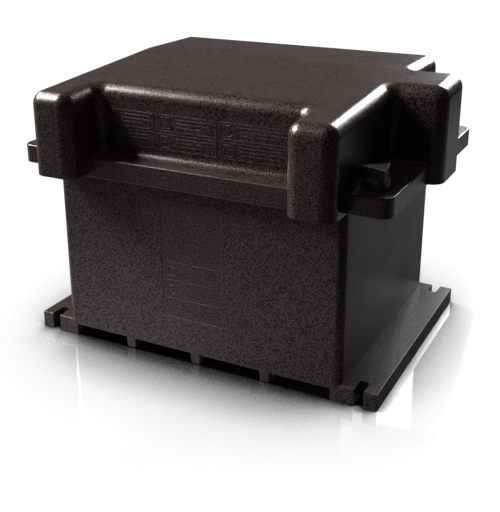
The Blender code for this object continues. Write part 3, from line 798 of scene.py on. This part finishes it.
def wing_outline(about):
    """Three-pointed grip, turned so that the knobs mirror each other across the box."""
    towards_wall = WING_POINT if about[0] > 0 else math.pi - WING_POINT
    corners = []
    for index in range(3):
        angle = towards_wall + math.tau * index / 3
        x = about[0] + WING_REACH * math.cos(angle)
        y = about[1] + WING_REACH * math.sin(angle)
        corners.append((x, y, WING_CORNER))
    return corners


def make_knob(name, about, shaft_low):
    """Dished three-pointed grip on a round foot, with its shaft and the screw's bore."""
    boss_top = WING_LOW + 0.002
    profile = [(0, shaft_low), (SHAFT_RADIUS - 0.0005, shaft_low)]
    profile += [(SHAFT_RADIUS, shaft_low + 0.0005), (SHAFT_RADIUS, KNOB_SEAT)]
    profile += [(KNOB_BOSS - 0.0006, KNOB_SEAT), (KNOB_BOSS, KNOB_SEAT + 0.0006)]
    profile += [(KNOB_BOSS, WING_LOW - 0.0015), (KNOB_BOSS - 0.0008, WING_LOW - 0.0004)]
    profile += [(KNOB_BOSS - 0.002, boss_top), (0, boss_top)]
    knob = turned(f"grip_{name}", profile, about)
    outline = wing_outline(about)
    levels = [
        (inset(outline, 0.0009), WING_LOW),
        (inset(outline, 0.0003), WING_LOW + 0.0002),
        (outline, WING_LOW + 0.0008),
        (outline, WING_HIGH - 0.0009),
        (inset(outline, 0.0002), WING_HIGH - 0.0003),
        (inset(outline, 0.0008), WING_HIGH),
        (inset(outline, 0.0018), WING_HIGH),
        (inset(outline, 0.0028), WING_HIGH - DISH),
    ]
    combine(knob, [lofted("wings", levels, 5)], 'UNION')
    bore_top = shaft_low + SCREW_GRIP + 0.002
    bore = cylinder("bore", SCREW_BORE, shaft_low - WALL, bore_top, about, 24)
    combine(knob, [bore], 'DIFFERENCE')
    finish_mesh(knob, "knob_plastic", f"latch_{name}", f"knob_{name}", 28)


def make_bar(name, about):
    """Round-ended bar under the shaft, with a hole for the screw."""
    outline = centred(*about, BAR_WIDTH / 2, BAR_LENGTH / 2, BAR_WIDTH * 0.45)
    levels = domed_levels(outline, BAR_LOW, BAR_LOW + BAR_THICK, 0.0008, 4, 0.0006)
    bar = lofted(f"bar_{name}", levels, 8)
    hole = cylinder("hole", SCREW_BORE, BAR_LOW - WALL, BAR_LOW + 2 * WALL, about, 24)
    combine(bar, [hole], 'DIFFERENCE')
    finish_mesh(bar, "knob_plastic", f"latch_{name}", f"latch_bar_{name}")


def make_screw(name, about, shaft_low):
    """Pan-head screw with a cross recess, its head downwards."""
    head_top = BAR_LOW - 0.0005
    head_low = head_top - SCREW_HEAD_THICK
    tip = shaft_low + SCREW_GRIP
    dome = SCREW_HEAD_THICK - 0.0004
    profile = []
    for sine, cosine in quarter_arc(6):
        profile.append((SCREW_HEAD * sine, head_low + dome * (1 - cosine)))
    profile += [(SCREW_HEAD, head_top), (SCREW_SHANK, head_top), (SCREW_SHANK, tip)]
    profile.append((0, tip + SCREW_SHANK / 2))
    screw = turned(f"screw_{name}", profile, about, 32)
    for wide, narrow in ((0.0024, 0.0005), (0.0005, 0.0024)):
        outline = centred(*about, wide, narrow, SQUARE)
        recess = prism("recess", outline, head_low - WALL, head_low + 0.0013, 1)
        combine(screw, [recess], 'DIFFERENCE')
    finish_mesh(screw, "zinc_steel", f"latch_{name}", f"latch_screw_{name}")


def make_latches():
    shaft_low = BAR_LOW + BAR_THICK + 0.0005
    for name, *about in knob_places():
        make_knob(name, about, shaft_low)
        make_bar(name, about)
        make_screw(name, about, shaft_low)


# ---- Batteries -----------------------------------------------------------

def battery_places():
    """Name, centre x and the side on which the posts stand."""
    yield "left", -BATTERY_X, 1
    yield "right", BATTERY_X, -1


def cell_centres():
    return [(index - 1) * CELL_PITCH for index in range(3)]


def post_places(centre_x, post_side):
    """Name and side of the end, x and y, for a battery's two posts."""
    for end_name, end in (("front", -1), ("rear", 1)):
        yield end_name, end, centre_x + post_side * POST_X, end * POST_Y


def battery_outline(centre_x, margin=0.0, corner=BATTERY_CORNER):
    """Plan of a battery, or of a field a margin inside it."""
    half_x = BATTERY_WIDTH / 2 - margin
    return centred(centre_x, 0, half_x, BATTERY_DEPTH / 2 - margin, corner)


def make_case(name, centre_x):
    """Battery case with a foot, drawn-in sides, a lip under the cover and three cells."""
    low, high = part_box(f"battery_case_{name}")
    outline = battery_outline(centre_x)
    waist = inset(outline, CASE_WAIST)
    levels = [
        (inset(outline, 0.0015), low.z),
        (outline, low.z + 0.0015),
        (outline, low.z + 0.012),
        (waist, low.z + 0.014),
        (waist, high.z - 0.018),
        (outline, high.z - 0.016),
        (outline, high.z),
    ]
    case = lofted(f"case_{name}", levels, 6)
    cell_x = BATTERY_WIDTH / 2 - BATTERY_WALL
    cell_y = (CELL_PITCH - BATTERY_WALL) / 2
    hollows = []
    for y in cell_centres():
        cell = centred(centre_x, y, cell_x, cell_y, SQUARE)
        hollows.append(prism("cell", cell, low.z + WALL, high.z + WALL, 1))
    combine(case, hollows, 'DIFFERENCE')
    finish_mesh(case, "case_plastic", "tub", f"battery_case_{name}")


def post_sign(x, y, low, plus):
    """Raised plus or minus beside a post."""
    high = low + SIGN_HEIGHT
    across = centred(x, y, SIGN_ARM, SIGN_HALF, SIGN_HALF * 0.9)
    sign = lofted("sign", domed_levels(across, low, high, 0.0004, 3), 4)
    if plus:
        along = centred(x, y, SIGN_HALF, SIGN_ARM, SIGN_HALF * 0.9)
        upright = lofted("upright", domed_levels(along, low, high + 0.00001, 0.0004, 3), 4)
        combine(sign, [upright], 'UNION')
    return sign


def make_cover(name, centre_x, post_side):
    """Cover with a raised rim, a collar round each hole and signs at the posts."""
    low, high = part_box(f"battery_cover_{name}")
    outline = battery_outline(centre_x)
    field_z = high.z - COVER_SINK
    cover = lofted(f"cover_{name}", domed_levels(outline, low.z, field_z, COVER_EDGE, 6, 0.0005), 6)
    rim = lofted("rim", domed_levels(outline, high.z - 0.006, high.z, COVER_EDGE, 6), 6)
    combine(cover, [rim], 'UNION')
    field = battery_outline(centre_x, COVER_RIM, 0.004)
    combine(cover, [prism("field", field, field_z, high.z + WALL, 6)], 'DIFFERENCE')
    collar_low = high.z - COLLAR_DEPTH
    collars = []
    holes = []
    for y in cell_centres():
        about = (centre_x, y)
        collars.append(cylinder("collar", CAP_RADIUS + CAP_COLLAR, collar_low, high.z, about))
        holes.append(cylinder("hole", CAP_HOLE, low.z - WALL, high.z + WALL, about))
    for _, end, x, y in post_places(centre_x, post_side):
        collars.append(cylinder("collar", POST_RADIUS + POST_COLLAR, collar_low, high.z, (x, y)))
        collars.append(post_sign(x - post_side * SIGN_X, y, high.z - 0.002, end == post_side))
        holes.append(cylinder("hole", POST_RADIUS + 0.0005, low.z - WALL, high.z + WALL, (x, y)))
    combine(cover, collars, 'UNION')
    combine(cover, holes, 'DIFFERENCE')
    finish_mesh(cover, "cover_plastic", "tub", f"battery_cover_{name}")


def fluted_ring(about, radius, depth, height):
    """One loop of a round outline with shallow flutes for the fingers."""
    points = []
    count = CAP_FLUTES * 6
    for index in range(count):
        angle = math.tau * index / count
        reach = radius - depth * (0.5 - 0.5 * math.cos(angle * CAP_FLUTES)) ** 2
        x = about[0] + reach * math.cos(angle)
        y = about[1] + reach * math.sin(angle)
        points.append((x, y, height))
    return points


def make_vent_cap(name, number, centre_x, y):
    """Fluted quarter-turn cap with a dished top and a grip bar across it."""
    node = f"vent_cap_{name}_{number}"
    low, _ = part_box(node)
    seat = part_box(f"battery_cover_{name}")[1].z + 0.0005
    top = seat + CAP_HEAD
    about = (centre_x, y)
    rings = [                       # distance inwards, depth of the flutes and height
        (0.0006, 0.0006, seat), (0.0, 0.0009, seat + 0.0006), (0.0, 0.0009, top - 0.0012),
        (0.0004, 0.0006, top - 0.0004), (0.0012, 0.0, top), (0.0030, 0.0, top),
        (0.0040, 0.0, top - 0.0010),
    ]
    loops = [fluted_ring(about, CAP_RADIUS - inwards, depth, z) for inwards, depth, z in rings]
    cap = ring_solid(f"cap_{name}_{number}", loops)
    plug = CAP_HOLE - 0.0005
    profile = [(0, low.z), (plug - 0.001, low.z), (plug, low.z + 0.001)]
    profile += [(plug, seat + 0.001), (0, seat + 0.001)]
    grip = centred(centre_x, y, GRIP_WIDTH / 2, GRIP_LENGTH / 2, 0.0022)
    combine(cap, [
        turned("plug", profile, about),
        lofted("grip", domed_levels(grip, top - 0.002, seat + GRIP_TOP, 0.0016, 5), 6),
        cylinder("vent", VENT_RADIUS, top - 0.002, top - 0.0004, (centre_x + VENT_X, y), 24),
    ], 'UNION')
    finish_mesh(cap, "cap_plastic", f"cap_{name}_{number}", node, 40)


def make_post(label, x, y):
    """Lead post with a flat shoulder and a stud with rings for its thread."""
    node = f"terminal_post_{label}"
    low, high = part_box(node)
    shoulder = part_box(f"battery_cover_{label.split('_')[1]}")[1].z + 0.004
    profile = [(0, low.z), (POST_RADIUS, low.z), (POST_RADIUS, shoulder - 0.0008)]
    profile += [(POST_RADIUS - 0.0008, shoulder), (STUD_RADIUS - 0.0004, shoulder)]
    root = STUD_RADIUS - THREAD_DEPTH
    for index in range(int((high.z - shoulder - 0.0015) / THREAD_PITCH)):
        z = shoulder + 0.0004 + index * THREAD_PITCH
        for radius, share in ((STUD_RADIUS, 0.25), (STUD_RADIUS, 0.4), (root, 0.75), (root, 0.9)):
            profile.append((radius, z + THREAD_PITCH * share))
    profile += [(STUD_RADIUS - 0.0003, high.z - 0.0009), (STUD_RADIUS - 0.0012, high.z)]
    profile.append((0, high.z))
    post = turned(f"post_{label}", profile, (x, y))
    finish_mesh(post, "lead", "tub", node)


def stud_bore(x, y, low, high):
    """Cutter of the hole that a stud goes through."""
    return cylinder("bore", STUD_RADIUS + BORE_PLAY, low - WALL, high + WALL, (x, y))


def make_nut(label, x, y):
    """Hexagon nut with chamfered corners."""
    node = f"terminal_nut_{label}"
    low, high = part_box(node)
    corners = []
    for index in range(6):
        angle = math.tau * index / 6
        corners.append((x + NUT_RADIUS * math.cos(angle), y + NUT_RADIUS * math.sin(angle), 0.0003))
    nut = prism(f"nut_{label}", corners, low.z, high.z, 3)
    flat = NUT_RADIUS * 0.9
    widest = NUT_RADIUS * 1.03
    profile = [(0, low.z), (flat, low.z), (widest, low.z + NUT_CHAMFER)]
    profile += [(widest, high.z - NUT_CHAMFER), (flat, high.z), (0, high.z)]
    combine(nut, [turned("chamfer", profile, (x, y), 60)], 'INTERSECT')
    combine(nut, [stud_bore(x, y, low.z, high.z)], 'DIFFERENCE')
    finish_mesh(nut, "zinc_steel", "tub", node)


def hoop(x, y, z, radius):
    """Points of an upright circle that faces along X."""
    points = []
    for index in range(CABLE_SIDES):
        angle = math.tau * index / CABLE_SIDES
        points.append((x, y + radius * math.cos(angle), z + radius * math.sin(angle)))
    return points


def lug_barrel(x, y, z, cable_side):
    """Round barrel that lies along X, with two crimps."""
    near = BARREL_MIDDLE - BARREL_LENGTH / 2
    stations = [(0.0, 0.82), (0.06, 1.0)]
    for start in (0.28, 0.60):
        stations += [(start, 1.0), (start + 0.06, 0.9), (start + 0.12, 0.9), (start + 0.18, 1.0)]
    stations += [(0.96, 1.0), (1.0, 0.94)]
    loops = []
    for share, size in stations:
        along = x + cable_side * (near + BARREL_LENGTH * share)
        loops.append(hoop(along, y, z, BARREL_RADIUS * size))
    return ring_solid("barrel", loops)


def make_lug(label, x, y, cable_side):
    """Ring lug of the series link: flat eye, tongue and crimped barrel."""
    node = f"link_lug_{label}"
    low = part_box(node)[0].z
    high = low + LUG_THICK
    profile = [(0, low), (POST_RADIUS - 0.0004, low), (POST_RADIUS, low + 0.0004)]
    profile += [(POST_RADIUS, high - 0.0006), (POST_RADIUS - 0.0006, high), (0, high)]
    lug = turned(f"lug_{label}", profile, (x, y))
    inner, outer = sorted((x, x + cable_side * LUG_TONGUE))
    tongue = rectangle(inner, y - LUG_TONGUE_HALF, outer, y + LUG_TONGUE_HALF, 0.001)
    combine(lug, [
        lofted("tongue", domed_levels(tongue, low, high, 0.0005, 3, 0.0003), 4),
        lug_barrel(x, y, (low + high) / 2 + BARREL_LIFT, cable_side),
    ], 'UNION')
    combine(lug, [stud_bore(x, y, low, high)], 'DIFFERENCE')
    finish_mesh(lug, "tinned_copper", "tub", node)


def make_series_link():
    """Short cable between the two rear posts, held at both ends by its lugs."""
    barrel_end = BATTERY_X - POST_X - BARREL_MIDDLE - BARREL_LENGTH / 2 - 0.0005
    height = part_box("link_lug_left")[0].z + LUG_THICK / 2 + BARREL_LIFT
    loops = []
    for index in range(LINK_STEPS + 1):
        share = index / LINK_STEPS
        rise = math.sin(math.pi * share) ** 4
        radius = LINK_RADIUS - 0.0004 * (index in (0, LINK_STEPS))
        x = barrel_end * (2 * share - 1)
        loops.append(hoop(x, POST_Y + LINK_BOW * rise, height + LINK_RISE * rise, radius))
    cable = ring_solid("link_cable", loops)
    finish_mesh(cable, "cable_jacket", "tub", "series_link", 50)


def make_plates():
    """The plates keep their own shapes, since their covers never come off."""
    for name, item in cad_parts.items():
        if name.startswith("plate_pack"):
            item.data.materials.clear()
            item.data.materials.append(MATERIALS["lead"])


def make_batteries():
    for name, centre_x, post_side in battery_places():
        make_case(name, centre_x)
        make_cover(name, centre_x, post_side)
        for number, y in enumerate(cell_centres(), 1):
            make_vent_cap(name, number, centre_x, y)
        for end_name, _, x, y in post_places(centre_x, post_side):
            make_post(f"{end_name}_{name}", x, y)
            make_nut(f"{end_name}_{name}", x, y)
    post_x = BATTERY_X - POST_X
    make_lug("left", -post_x, POST_Y, 1)
    make_lug("right", post_x, POST_Y, -1)
    make_series_link()
    make_plates()


# ---- Studio --------------------------------------------------------------

def make_camera():
    """The photograph's viewing angle."""
    camera = bpy.data.cameras.new("camera")
    camera.lens = CAMERA_LENS
    camera.shift_y = CAMERA_SHIFT
    camera.clip_end = 50
    item = bpy.data.objects.new("camera", camera)
    bpy.context.collection.objects.link(item)
    item.location = CAMERA_PLACE
    item.rotation_euler = (math.radians(CAMERA_TILT), 0, math.radians(CAMERA_TURN))
    bpy.context.scene.camera = item


def added(tree, first, second):
    """The sum of two shaders."""
    both = tree.nodes.new("ShaderNodeAddShader")
    tree.links.new(first.outputs[0], both.inputs[0])
    tree.links.new(second.outputs[0], both.inputs[1])
    return both


def camera_split(tree, given, seen, output):
    """Show one shader to the camera and give the other to everything else."""
    path = tree.nodes.new("ShaderNodeLightPath")
    mix = tree.nodes.new("ShaderNodeMixShader")
    link(tree, path, "Is Camera Ray", mix, "Fac")
    tree.links.new(given.outputs[0], mix.inputs[1])
    tree.links.new(seen.outputs[0], mix.inputs[2])
    link(tree, mix, "Shader", tree.nodes[output], "Surface")


def spot(tree, centre, near, far, tones, smooth=False):
    """A value that changes with the distance from a point of the floor."""
    place = tree.nodes.new("ShaderNodeTexCoord")
    distance = tree.nodes.new("ShaderNodeVectorMath")
    distance.operation = 'DISTANCE'
    distance.inputs[1].default_value = centre
    link(tree, place, "Object", distance, "Vector")
    return mapped(tree, distance, "Value", near, far, *tones, smooth)


def floor_seen(tree):
    """What the camera sees: near white with painted shade round the box, a painted shadow at its
    foot and a mirror image that fades.
    """
    # painted shade: the floor's glow is dimmer near the box and brightens outwards
    painted_shade = spot(tree, (0, 0, 0), PAINTED_SHADE_NEAR, PAINTED_SHADE_FAR, FLOOR_TONES, True)
    # painted shadow: ambient occlusion dims the floor's glow where the box stands close
    shade = tree.nodes.new("ShaderNodeAmbientOcclusion")
    shade.inputs["Distance"].default_value = PAINTED_SHADOW_REACH
    shade.samples = 8
    painted_shadow = mapped(tree, shade, "AO", *PAINTED_SHADOW_LEVELS, smooth=True)
    level = tree.nodes.new("ShaderNodeMath")
    level.operation = 'MULTIPLY'
    tree.links.new(painted_shade.outputs["Result"], level.inputs[0])
    tree.links.new(painted_shadow.outputs["Result"], level.inputs[1])
    white = tree.nodes.new("ShaderNodeEmission")
    link(tree, level, "Value", white, "Strength")
    mirror = tree.nodes.new("ShaderNodeBsdfGlossy")
    mirror.inputs["Color"].default_value = (0.45, 0.45, 0.45, 1)
    mirror.inputs["Roughness"].default_value = 0.05
    return added(tree, white, mirror)


def floor_card(tree):
    """What the object sees: a pale card in front and a painted glow, emitted by the floor itself,
    behind its right-hand end.
    """
    card = tree.nodes.new("ShaderNodeBsdfDiffuse")
    pale = spot(tree, CARD_PLACE, CARD_NEAR, CARD_FAR, CARD_TONES)
    link(tree, pale, "Result", card, "Color")
    # painted glow: the floor itself emits light here, though it is no lamp
    glow = tree.nodes.new("ShaderNodeEmission")
    bright = spot(tree, GLOW_PLACE, GLOW_NEAR, GLOW_FAR, GLOW_TONES)
    link(tree, bright, "Result", glow, "Strength")
    return added(tree, card, glow)


def make_floor():
    bm = bmesh.new()
    bmesh.ops.create_circle(bm, cap_ends=True, segments=128, radius=FLOOR_RADIUS)
    floor = make_object("studio_floor", bm)
    material, tree, unused = new_material("studio_floor")
    tree.nodes.remove(unused)
    camera_split(tree, floor_card(tree), floor_seen(tree), "Material Output")
    floor.data.materials.append(material)


def area_light(name, place, target, size, power):
    light = bpy.data.lights.new(name, 'AREA')
    light.shape = 'RECTANGLE'
    light.size, light.size_y = size
    light.energy = power
    item = bpy.data.objects.new(name, light)
    bpy.context.collection.objects.link(item)
    item.location = place
    aim = Vector(target) - Vector(place)
    item.rotation_euler = aim.to_track_quat('-Z', 'Y').to_euler()
    item.visible_camera = False
    return item


def make_flag():
    """Black card behind the box that keeps the back light off the flange."""
    flag = block("flag", FLAG_LOW, FLAG_HIGH)
    material, _, shader = new_material("flag")
    shader.inputs["Base Color"].default_value = (0.01, 0.01, 0.01, 1)
    shader.inputs["Roughness"].default_value = 1.0
    flag.data.materials.append(material)
    flag.visible_camera = False
    flag.visible_glossy = False


def make_world():
    """White behind the object, and for the light it gives dark in front and grey at the back."""
    world = bpy.data.worlds.new("studio")
    world.use_nodes = True
    tree = world.node_tree
    seen = tree.nodes["Background"]
    seen.inputs["Color"].default_value = (1, 1, 1, 1)
    given = tree.nodes.new("ShaderNodeBackground")
    place = tree.nodes.new("ShaderNodeTexCoord")
    axes = tree.nodes.new("ShaderNodeSeparateXYZ")
    link(tree, place, "Generated", axes, "Vector")
    depth = mapped(tree, axes, "Y", -0.2, 0.8, WORLD_FRONT, WORLD_BACK)
    link(tree, depth, "Result", given, "Strength")
    camera_split(tree, given, seen, "World Output")
    bpy.context.scene.world = world


def make_lights():
    make_world()
    make_flag()
    area_light("key", (-2.14, -0.50, 1.92), (0, 0, 0.3), (1.8, 0.95), 300)
    area_light("back_right", (0.28, 1.8, 1.10), (0.1, 0, 0.3), (0.7, 1.0), 46)
    overhead = area_light("overhead", (0.0, -0.3, 2.8), (0.0, -0.3, 0), (1.2, 1.2), 11)
    overhead.visible_glossy = False
    bpy.context.scene.view_settings.view_transform = 'Standard'


# ---- Assembly ------------------------------------------------------------

def main():
    make_camera()
    make_floor()
    make_lights()
    make_tub()
    make_tub_label()
    make_lid()
    make_panel_marks()
    make_latches()
    make_batteries()


main()
